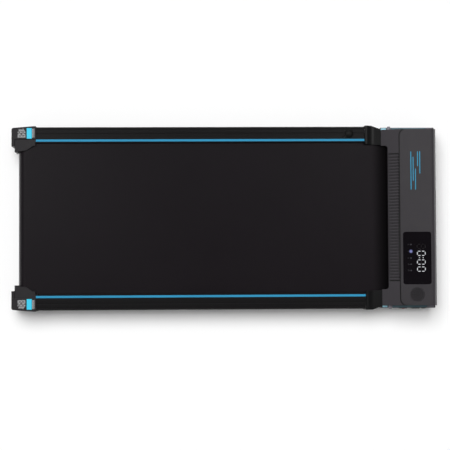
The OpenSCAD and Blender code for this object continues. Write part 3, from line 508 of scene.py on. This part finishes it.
# %% The panel's frame, measured from its box
lens_l, lens_t, panel_rear_z = 84 * MM, 2 * MM, 125.2 * MM
panel_tilt = math.asin((lens_high.z - lens_low.z - lens_t) / lens_l)
panel_frame = Matrix.Translation((panel_low.x, 0, panel_rear_z)) @ Matrix.Rotation(-panel_tilt, 4, "Y")
print(f"panel tilt {math.degrees(panel_tilt):.2f} degrees")

# %% Covers, caps, rails, trims and what hangs below
SOFTENED = [
    ("base_pan", 1.2, "cover_plastic", "root"),
    ("rear_cap_left", 0.9, "cap_plastic", "root"), ("rear_cap_right", 0.9, "cap_plastic", "root"),
    ("joint_cap_left", 2.2, "joint_plastic", "root"), ("joint_cap_right", 2.2, "joint_plastic", "root"),
    ("foot_rail_left", 0.4, "rail_alloy", "root"), ("foot_rail_right", 0.4, "rail_alloy", "root"),
    ("rail_stripes", 0.7, "stripe_blue", "root"), ("side_strips", 0.8, "strip_teal", "root"),
    ("strip_lenses", 0.8, "strip_light", "root"), ("strip_fittings", 0.8, "fitting_grey", "root"),
    ("power_inlet", 0.6, "black_plastic", "root"), ("switch_frame", 0.5, "black_plastic", "root"),
    ("switch_rocker", 0.5, "red_plastic", "switch_rocker"), ("breaker_body", 0.5, "black_plastic", "root"),
    ("breaker_button", 0.5, "white_plastic", "breaker_button"), ("plug_anchor", 0.4, "black_rubber", "root"),
    ("rubber_feet", 1.2, "black_rubber", "root"), ("wheel_left", 0.8, "black_rubber", "wheel_left"),
    ("wheel_right", 0.8, "black_rubber", "wheel_right"), ("crossbars", 1.0, "frame_paint", "root"),
    ("frame_tube_left", 1.0, "frame_paint", "root"), ("frame_tube_right", 1.0, "frame_paint", "root"),
    ("motor_tray", 0.5, "frame_paint", "root"), ("display_lens", 0.4, "display_black", "root"),
    ("tension_bolt_left", 0.4, "steel", "tension_bolt_left"),
    ("tension_bolt_right", 0.4, "steel", "tension_bolt_right"),
]
for node, width_mm, slot, body in SOFTENED:
    cover = soften(node, width_mm * MM, slot, body)
    print(f"{cover.name}: {len(cover.data.polygons)} faces")

# %% The belt and the oil plug are smooth all over
add_piece("running_belt_finished", soft_mesh("running_belt", 0.3 * MM, segments=2, limit=60), "belt_rubber",
          replaced=("running_belt",), smooth=40)
add_piece("oil_plug_finished", soft_mesh("oil_plug", 0.5 * MM, limit=50), "black_rubber", "oil_plug",
          ("oil_plug",), smooth=40)

# %% [markdown]
# ## Ribs and slots on the hood's ramp
# Cooling air enters through a comb of narrow ribs on the ramp. Each rib is the same bar, repeated
# at an even pitch, which is exactly what Geometry Nodes are for: one curve swept with a rounded
# section, placed on a line of points. The tree ends in Realize Instances and Set Material, and the
# result is turned into a plain mesh in the ramp's own tilted frame. A second tree lays out the air
# slots in the same way, and they are cut through the hood.


# %% Helpers for geometry trees
def geometry_tree(name, inputs):
    """A geometry tree with named inputs and one geometry output; gives the tree and its end nodes."""
    return new_group(name, "GeometryNodeTree", inputs, [("Geometry", "NodeSocketGeometry")])


def finish_tree(tree, given, out, geometry):
    """Ends a tree as every one here ends: instances made real, then the material."""
    real = add(tree, "GeometryNodeRealizeInstances", {"Geometry": geometry})
    painted = add(tree, "GeometryNodeSetMaterial", {
        "Geometry": real.outputs["Geometry"], "Material": given.outputs["Material"]})
    tree.links.new(painted.outputs["Geometry"], out.inputs["Geometry"])


def grown(name, tree, matrix, points=(), **values):
    """Runs a tree on a mesh of points, and gives the result as a plain mesh placed by matrix."""
    seed = bpy.data.meshes.new(name)
    seed.from_pydata(list(points), [], [])
    holder = bpy.data.objects.new(name + "_holder", seed)
    scene.collection.objects.link(holder)
    modifier = holder.modifiers.new("grow", "NODES")
    modifier.node_group = tree
    for item in tree.interface.items_tree:
        key = item.name.replace(" ", "_").lower()
        if item.in_out == "INPUT" and key in values:
            modifier[item.identifier] = values[key]
    mesh = evaluated(holder)
    mesh.transform(matrix)
    return mesh


# %% The ramp's frame: X runs up the ramp, Z stands off it
ramp_foot_z, ramp_top_z, ramp_panel_gap = 97 * MM, 122.6 * MM, 5 * MM
ramp_foot = Vector((hood_low.x, 0, ramp_foot_z))
ramp_top = Vector((panel_low.x - ramp_panel_gap, 0, ramp_top_z))
ramp_tilt = math.atan2(ramp_top.z - ramp_foot.z, ramp_top.x - ramp_foot.x)
ramp_frame = Matrix.Translation(ramp_foot) @ Matrix.Rotation(-ramp_tilt, 4, "Y")
recess_start, recess_l, recess_depth, recess_half_w = 23 * MM, 30 * MM, 1.6 * MM, 192 * MM
rib_pitch = 9 * MM
rib_count = 42

# %% Tree: a comb of ribs
comb, comb_in, comb_out = geometry_tree("comb of ribs", [
    ("Count", "NodeSocketInt", 10), ("Pitch", FLOAT, 0.009), ("Length", FLOAT, 0.03), ("Width", FLOAT, 0.006),
    ("Height", FLOAT, 0.002), ("Rounding", FLOAT, 0.0006), ("Material", "NodeSocketMaterial", None)])
rib_end = add(comb, "ShaderNodeCombineXYZ", {"X": comb_in.outputs["Length"]})
spine = add(comb, "GeometryNodeCurvePrimitiveLine", {"End": rib_end.outputs[0]})
section = add(comb, "GeometryNodeCurvePrimitiveQuadrilateral", {
    "Width": comb_in.outputs["Width"], "Height": comb_in.outputs["Height"]})
rounded_section = add(comb, "GeometryNodeFilletCurve", {
    "Curve": section.outputs["Curve"], "Radius": comb_in.outputs["Rounding"], "Count": 3}, mode="POLY")
rib = add(comb, "GeometryNodeCurveToMesh", {
    "Curve": spine.outputs["Curve"], "Profile Curve": rounded_section.outputs["Curve"], "Fill Caps": True})
step = add(comb, "ShaderNodeCombineXYZ", {"Y": comb_in.outputs["Pitch"]})
row = add(comb, "GeometryNodeMeshLine", {"Count": comb_in.outputs["Count"], "Offset": step.outputs[0]})
many = add(comb, "GeometryNodeInstanceOnPoints", {
    "Points": row.outputs["Mesh"], "Instance": rib.outputs["Mesh"]})
finish_tree(comb, comb_in, comb_out, many.outputs["Instances"])

# %% The ribs stand in the recess
rib_w, rib_h, rib_rounding = 6.8 * MM, 2.2 * MM, 0.7 * MM
end_gap, rib_sink = 0.6 * MM, 0.8 * MM
rib_z = -recess_depth + rib_h / 2 - rib_sink
first_rib = Matrix.Translation((recess_start + end_gap, -rib_pitch * (rib_count - 1) / 2, rib_z))
rib_mesh = grown("vent_ribs", comb, ramp_frame @ first_rib, count=rib_count, pitch=rib_pitch,
                 length=recess_l - 2 * end_gap, width=rib_w, height=rib_h, rounding=rib_rounding,
                 material=paint["cover_plastic"])
add_piece("vent_ribs", rib_mesh, "cover_plastic", smooth=35)
print("ribs:", rib_count, "in", len(rib_mesh.polygons), "faces")

# %% Tree: a row of blocks, used to cut the air slots
blocks, blocks_in, blocks_out = geometry_tree("row of blocks", [
    ("Count", "NodeSocketInt", 10), ("Pitch", FLOAT, 0.009), ("Size", VECTOR, (0.004, 0.003, 0.01)),
    ("Material", "NodeSocketMaterial", None)])
block = add(blocks, "GeometryNodeMeshCube", {"Size": blocks_in.outputs["Size"]})
step = add(blocks, "ShaderNodeCombineXYZ", {"Y": blocks_in.outputs["Pitch"]})
row = add(blocks, "GeometryNodeMeshLine", {"Count": blocks_in.outputs["Count"], "Offset": step.outputs[0]})
many = add(blocks, "GeometryNodeInstanceOnPoints", {
    "Points": row.outputs["Mesh"], "Instance": block.outputs["Mesh"]})
finish_tree(blocks, blocks_in, blocks_out, many.outputs["Instances"])

# %% The air slots lie where the ribs meet the gap round the panel
slot_size = (4.4 * MM, 3.6 * MM, 16 * MM)
slot_row = Matrix.Translation((-3.6 * MM, -rib_pitch * rib_count / 2, -3 * MM))
slot_cutter = grown("air_slots", blocks, panel_frame @ slot_row, count=rib_count + 1, pitch=rib_pitch,
                    size=slot_size, material=paint["cover_plastic"])

# %% The hood and the console panel; their long side edges are rounder than the rest
side_y = panel_high.y - 1 * MM
panel_place = panel_frame.inverted()


def on_hood_side(middle):
    """Whether an edge's middle lies on one of the hood's sides, behind the panel."""
    return abs(middle.y) > side_y and middle.x < panel_low.x


def on_panel_side(middle):
    """Whether an edge's middle lies on one of the panel's sides, at its top face."""
    return abs(middle.y) > side_y and (panel_place @ middle).z > -0.5 * MM


hood_mesh = soft_mesh("hood_shell", 1.0 * MM, cutter=slot_cutter, wide=2.6 * MM, rounder=on_hood_side)
hood = add_piece("hood_shell_finished", hood_mesh, "cover_plastic", replaced=("hood_shell",), smooth=32)
panel_mesh = soft_mesh("console_panel", 0.5 * MM, wide=2.2 * MM, rounder=on_panel_side)
panel = add_piece("console_panel_finished", panel_mesh, "panel_plastic", replaced=("console_panel",),
                  smooth=32)
print("hood and panel:", len(hood.data.polygons), len(panel.data.polygons), "faces")

# %% A black strip lies in the gap round the panel's rear edge and corners: painted shade of the gap
corner_r, gap_w, panel_half_w = 20 * MM, 3 * MM, panel_high.y
arc_steps = 12
gap_shade_path = []
for side in (1, -1):
    arc = []
    for step in range(arc_steps + 1):
        angle = math.radians(90 + 90 / arc_steps * step)
        ring = []
        for r in (corner_r - 0.2 * MM, corner_r + gap_w + 0.1 * MM):
            y = min(panel_half_w - corner_r + r * math.sin(angle), panel_half_w)
            ring.append((corner_r + r * math.cos(angle), side * y))
        arc.append(ring)
    gap_shade_path += arc if side == 1 else arc[::-1]
gap_shade_work = bmesh.new()
for z in (-1.5 * MM, -0.4 * MM):
    rows = [[gap_shade_work.verts.new((*point, z)) for point in ring] for ring in gap_shade_path]
    for here, there in zip(rows, rows[1:]):
        gap_shade_work.faces.new((here[0], here[1], there[1], there[0]))
bmesh.ops.bridge_loops(gap_shade_work, edges=[seam for seam in gap_shade_work.edges if seam.is_boundary])
bmesh.ops.recalc_face_normals(gap_shade_work, faces=gap_shade_work.faces)
gap_shade_mesh = bpy.data.meshes.new("panel_gasket")
gap_shade_work.to_mesh(gap_shade_mesh)
gap_shade_work.free()
gap_shade_mesh.transform(panel_frame)
add_piece("panel_gasket", gap_shade_mesh, "black_rubber")
print("gap_shade:", len(gap_shade_mesh.polygons), "faces")


# %% [markdown]
# ## Printed and lit marks
# The display's digits sit behind dark glass, and the caps and the console carry printed marks.
# Each is a very thin plate: a flat outline, a tenth of a millimetre or two thick, so it has a true
# edge and exports as a shape of its own. Its corners and faces are made one by one in a fixed
# order. The marks carry no words. The console's accent
# and the bars on the caps are plain stripes.


# %% A function that makes thin plates from outlines
def plates(name, outlines, matrix, z, thickness, slot, material=None):
    """One piece of thin plates: each outline is a list of (x, y) in the frame that matrix gives."""
    work = bmesh.new()
    for outline in outlines:
        low = [work.verts.new((x, y, z)) for x, y in outline]
        high = [work.verts.new((x, y, z + thickness)) for x, y in outline]
        work.faces.new(low)
        work.faces.new(high)
        for k in range(len(outline)):
            work.faces.new((low[k - 1], low[k], high[k], high[k - 1]))
    bmesh.ops.recalc_face_normals(work, faces=work.faces)
    mesh = bpy.data.meshes.new(name)
    work.to_mesh(mesh)
    work.free()
    mesh.transform(matrix)
    return add_piece(name, mesh, slot, material=material)


def capsule(x0, y0, x1, y1, width, steps=6):
    """A round-ended bar between two points."""
    angle = math.atan2(y1 - y0, x1 - x0)
    ends = [(x1, y1, angle - math.pi / 2), (x0, y0, angle + math.pi / 2)]
    turns = [(x, y, start + math.pi * k / steps) for x, y, start in ends for k in range(steps + 1)]
    return [(x + width / 2 * math.cos(turn), y + width / 2 * math.sin(turn)) for x, y, turn in turns]


def disc(x, y, radius, steps=20):
    """A circle's outline."""
    turns = [2 * math.pi * k / steps for k in range(steps)]
    return [(x + radius * math.cos(turn), y + radius * math.sin(turn)) for turn in turns]


def segment(x0, y0, x1, y1, width):
    """A bar with pointed ends, as in a seven-segment digit."""
    along = Vector((x1 - x0, y1 - y0)).normalized() * width / 2
    side = Vector((-along.y, along.x))
    a, b = Vector((x0, y0)), Vector((x1, y1))
    return [tuple(p) for p in (a, a + along + side, b - along + side, b, b - along - side, a + along - side)]


# %% A black sheet on the recess floor between the ramp's ribs: painted shade in the grooves
far = recess_start + recess_l
recess_corners = [(recess_start, -recess_half_w), (far, -recess_half_w),
                  (far, recess_half_w), (recess_start, recess_half_w)]
groove_shade_t, groove_shade_lift = 0.25 * MM, 0.03 * MM
plates("vent_mesh", [recess_corners], ramp_frame, -recess_depth + groove_shade_lift, groove_shade_t, "black_rubber")

# %% The seven-segment digits
digit_low, digit_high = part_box("display_digits")
digit_u = ((digit_low.x + digit_high.x) / 2 - panel_low.x) / math.cos(panel_tilt)
digit_l, digit_w, stroke, bar_gap = 23.4 * MM, 12.8 * MM, 2.2 * MM, 1.8 * MM
digit_ys = [-109 * MM, -135 * MM, -156 * MM]
unlit_y, unlit_bar_half = -88 * MM, 6.3 * MM
colon_y, colon_u, colon_r = -122 * MM, 5.6 * MM, 1.5 * MM
lit_t, print_t = 0.25 * MM, 0.12 * MM


def zero(y, middle=False):
    """The segments of a 0, or of an 8 when middle is set; its top points up the panel."""
    low, high, gap = digit_u - digit_l / 2, digit_u + digit_l / 2, bar_gap
    left, right = y + digit_w / 2, y - digit_w / 2
    bars = [segment(u, left - gap, u, right + gap, stroke) for u in (low, high)]
    for side in (left, right):
        bars.append(segment(low + gap, side, digit_u - gap, side, stroke))
        bars.append(segment(digit_u + gap, side, high - gap, side, stroke))
    if middle:
        bars.append(segment(digit_u, left - gap, digit_u, right + gap, stroke))
    return bars


lit_bars = [bar for y in digit_ys for bar in zero(y)]
lit_bars += [disc(digit_u + offset, colon_y, colon_r) for offset in (-colon_u, colon_u)]
digits = plates("digits_lit", lit_bars, panel_frame, 0.0, lit_t, "digit_white")
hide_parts("display_digits")
unlit = zero(unlit_y, middle=True)
unlit += [segment(digit_u, y + unlit_bar_half, digit_u, y - unlit_bar_half, stroke) for y in digit_ys]
plates("digits_unlit", unlit, panel_frame, 0.0, print_t, "display_black", ghost_grey)
print("lit segments:", len(lit_bars))

# %% The mode lamps: one glows, and four wait, each beside its small sign
lamp_u, sign_u = 30.5 * MM, 23.5 * MM
lamp_ys = [-82.5 * MM, -103 * MM, -123 * MM, -141.5 * MM, -160 * MM]
lit_y, lamp_r = lamp_ys[1], 1.9 * MM
waiting = [disc(lamp_u, y, lamp_r) for y in lamp_ys if y != lit_y]
plates("mode_lamps", waiting, panel_frame, 0.0, print_t, "display_black",
       finish("waiting lamp", (0.055, 0.055, 0.062), 0.3, bump=0.0))
sign_w = 0.9 * MM
sign_bars = ((sign_u - 1.6 * MM, 2.2 * MM), (sign_u + 1.0 * MM, 1.2 * MM))
signs = [capsule(u, y - half, u, y + half, sign_w) for y in lamp_ys for u, half in sign_bars]
plates("mode_signs", signs, panel_frame, 0.0, print_t, "display_black",
       finish("unlit sign", (0.030, 0.028, 0.032), 0.3, bump=0.0))

# %% The glowing lamp, with a halo that fades in the dark glass
glow = bpy.data.materials.new("lamp glow")
glow.use_nodes = True
tree = glow.node_tree
glow_shader = tree.nodes["Principled BSDF"]
glow_shader.inputs["Base Color"].default_value = (0.004, 0.0035, 0.006, 1)
glow_shader.inputs["Roughness"].default_value = 0.12
glow_shader.inputs["Specular IOR Level"].default_value = 0.2
lamp_place = panel_frame @ Vector((lamp_u, lit_y, 0))
offset = add(tree, "ShaderNodeVectorMath", {
    0: add(tree, "ShaderNodeTexCoord").outputs["Object"], 1: lamp_place}, operation="DISTANCE")
fade = add(tree, "ShaderNodeMapRange", {
    "Value": offset.outputs["Value"], "From Min": 2.0 * MM, "From Max": 7.4 * MM,
    "To Min": 1.0, "To Max": 0.0}, interpolation_type="SMOOTHERSTEP")
fade_square = math_node(tree, "POWER", fade.outputs["Result"], 1.6)
halo = add(tree, "ShaderNodeMix", {
    "Factor": fade_square, 6: (0, 0, 0, 1), 7: (0.26, 0.28, 0.58, 1)}, data_type="RGBA")
tree.links.new(halo.outputs[2], glow_shader.inputs["Emission Color"])
glow_shader.inputs["Emission Strength"].default_value = 0.8
halo_r, halo_t = 7.5 * MM, 0.1 * MM
plates("mode_lamp_lit", [disc(lamp_u, lit_y, halo_r, 40)], panel_frame, 0.0, halo_t, "display_black", glow)

# %% The console's accent: plain rounded stripes of different lengths
accent_u, accent_y, accent_w = 46 * MM, 139 * MM, 2.6 * MM
accent = []
for row_index, (start, length) in enumerate(((-56, 112), (-30, 70), (-56, 60), (14, 42), (-8, 64))):
    u = accent_u + (row_index - 2) * 6.6 * MM
    accent.append(capsule(u, accent_y + start * MM, u, accent_y + (start + length) * MM, accent_w))
plates("console_accent", accent, panel_frame, 0.0, print_t, "stripe_blue",
       finish("accent print", (0.026, 0.27, 0.44), 0.35, bump=0.02))

# %% The bars beside each cap's coloured label
label_low, label_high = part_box("cap_labels")
label_proud = 0.3 * MM
label_low_y = 242.5 * MM
marks = []
# Each row is its distance from the label in mm, and the size of the dash in each of its places.
dash_rows = ((-25.5, "3120"), (-22.6, "2302"), (-19.7, "1231"), (-16.8, "3012"), (-13.9, "2131"),
             (-11.0, "1303"), (-8.1, "2231"), (-5.2, "3120"), (17.6, "3333"), (21.4, "3333"))
dash_l, dash_step, dash_start, dash_w = (0, 2.2, 3.8, 5.6), 6.6, 0.8, 1.7 * MM
for side in (1, -1):
    for row_x, row_pattern in dash_rows:
        x = label_low.x + row_x * MM
        for place, size in enumerate(map(int, row_pattern)):
            if size:
                y = side * (label_low_y + (place * dash_step + dash_start) * MM)
                marks.append(capsule(x, y, x, y + side * dash_l[size] * MM, dash_w, 4))
plates("cap_marks", marks, Matrix(), label_high.z - label_proud, print_t, "cap_plastic", print_grey)
print("marks:", len(marks) + len(accent) + len(signs))

# %% [markdown]
# ## Perforations, screws and contacts
# The speaker hides behind a disc of small round holes in rings. The rings follow a rule, so the
# hole centres are worked out in a loop, and Geometry Nodes place one round cutter on each and
# subtract them all from the disc. The cover's screws come from a second tree: a domed head
# with a cross cut into it, on each of the CAD screws' places.

# %% Tree: a disc with holes at its points
sieve, sieve_in, sieve_out = geometry_tree("perforated disc", [
    ("Geometry", "NodeSocketGeometry", None), ("Radius", FLOAT, 0.022), ("Thickness", FLOAT, 0.0016),
    ("Hole radius", FLOAT, 0.0016), ("Material", "NodeSocketMaterial", None)])
plate = add(sieve, "GeometryNodeMeshCylinder", {
    "Vertices": 64, "Radius": sieve_in.outputs["Radius"], "Depth": sieve_in.outputs["Thickness"]})
pin = add(sieve, "GeometryNodeMeshCylinder", {
    "Vertices": 14, "Radius": sieve_in.outputs["Hole radius"], "Depth": 0.01})
pins = add(sieve, "GeometryNodeInstanceOnPoints", {
    "Points": sieve_in.outputs["Geometry"], "Instance": pin.outputs["Mesh"]})
punched = add(sieve, "GeometryNodeMeshBoolean", operation="DIFFERENCE")
sieve.links.new(plate.outputs["Mesh"], punched.inputs["Mesh 1"])
sieve.links.new(pins.outputs["Instances"], punched.inputs["Mesh 2"])
finish_tree(sieve, sieve_in, sieve_out, punched.outputs["Mesh"])

# %% The speaker's disc
grille_low, grille_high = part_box("speaker_grille")
grille_centre = (grille_low + grille_high) / 2
hole_pitch, hole_rings, hole_r = 5.0 * MM, 4, 2.05 * MM
disc_r, disc_t = 21.9 * MM, 1.6 * MM
centres = [(0, 0, 0)]
for ring in range(1, hole_rings + 1):
    for k in range(6 * ring):
        angle = math.radians(60 * k / ring)
        centres.append((ring * hole_pitch * math.cos(angle), ring * hole_pitch * math.sin(angle), 0))
grille_u = (grille_centre.x - panel_low.x) / math.cos(panel_tilt)
disc_place = panel_frame @ Matrix.Translation((grille_u, grille_centre.y, -disc_t / 2))
sieve_mesh = grown("speaker_disc", sieve, disc_place, centres, radius=disc_r, thickness=disc_t,
                   hole_radius=hole_r, material=paint["panel_plastic"])
add_piece("speaker_disc", sieve_mesh, "panel_plastic", replaced=("speaker_grille",))
print("speaker holes:", len(centres), "faces:", len(sieve_mesh.polygons))

# %% Tree: cross-head screws at its points, heads facing down
screws, screws_in, screws_out = geometry_tree("cross-head screws", [
    ("Geometry", "NodeSocketGeometry", None), ("Radius", FLOAT, 0.004), ("Head height", FLOAT, 0.002),
    ("Material", "NodeSocketMaterial", None)])
narrow = math_node(screws, "MULTIPLY", screws_in.outputs["Radius"], 0.72)
head = add(screws, "GeometryNodeMeshCone", {
    "Vertices": 24, "Radius Top": screws_in.outputs["Radius"], "Radius Bottom": narrow,
    "Depth": screws_in.outputs["Head height"]})
wide = math_node(screws, "MULTIPLY", screws_in.outputs["Radius"], 1.1)
thin = math_node(screws, "MULTIPLY", screws_in.outputs["Radius"], 0.24)
cuts = []
for x, y in ((wide, thin), (thin, wide)):
    size = add(screws, "ShaderNodeCombineXYZ", {"X": x, "Y": y, "Z": screws_in.outputs["Head height"]})
    cuts.append(add(screws, "GeometryNodeMeshCube", {"Size": size.outputs[0]}).outputs["Mesh"])
both = add(screws, "GeometryNodeJoinGeometry")
for cut in cuts:
    screws.links.new(cut, both.inputs["Geometry"])
half_down = math_node(screws, "MULTIPLY", screws_in.outputs["Head height"], -0.5)
down = add(screws, "ShaderNodeCombineXYZ", {"Z": half_down})
lowered = add(screws, "GeometryNodeTransform", {
    "Geometry": both.outputs["Geometry"], "Translation": down.outputs[0]})
slotted = add(screws, "GeometryNodeMeshBoolean", operation="DIFFERENCE")
screws.links.new(head.outputs["Mesh"], slotted.inputs["Mesh 1"])
screws.links.new(lowered.outputs["Geometry"], slotted.inputs["Mesh 2"])
placed = add(screws, "GeometryNodeInstanceOnPoints", {
    "Points": screws_in.outputs["Geometry"], "Instance": slotted.outputs["Mesh"]})
finish_tree(screws, screws_in, screws_out, placed.outputs["Instances"])

# %% Screws under the base pan
screw_low, screw_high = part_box("cover_screws")
screw_r = 4 * MM
screw_points = [(x, y, screw_low.z) for x in (screw_low.x + screw_r, screw_high.x - screw_r)
                for y in (-190 * MM, -60 * MM, 60 * MM, 190 * MM)]
screw_mesh = grown("pan_screws", screws, Matrix(), screw_points, radius=screw_r,
                   head_height=screw_high.z - screw_low.z, material=paint["steel"])
add_piece("pan_screws", screw_mesh, "steel", replaced=("cover_screws",))
print("screws:", len(screw_points), "faces:", len(screw_mesh.polygons))


# %% The three contacts inside the power socket
def box_mesh(name, boxes):
    """One mesh of plain boxes with softened edges, each given by its centre and its size."""
    work = bmesh.new()
    for centre, size in boxes:
        made = bmesh.ops.create_cube(work, size=1)["verts"]
        bmesh.ops.scale(work, vec=size, verts=made)
        bmesh.ops.translate(work, vec=centre, verts=made)
    bmesh.ops.bevel(work, geom=work.edges, offset=0.25 * MM, segments=2, affect="EDGES")
    mesh = bpy.data.meshes.new(name)
    work.to_mesh(mesh)
    work.free()
    return mesh


inlet_low, inlet_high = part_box("power_inlet")
inlet_x, inlet_z = (inlet_low.x + inlet_high.x) / 2, (inlet_low.z + inlet_high.z) / 2
blade = (4 * MM, 14 * MM, 2 * MM)
blade_y = inlet_low.y + 2.5 * MM + 10 * MM
blade_places = ((-1.5, -7), (-1.5, 7), (2.5, 0))
contacts = [((inlet_x + x * MM, blade_y, inlet_z + z * MM), blade) for x, z in blade_places]
add_piece("inlet_contacts", box_mesh("inlet_contacts", contacts), "steel")
print("contacts:", len(contacts))
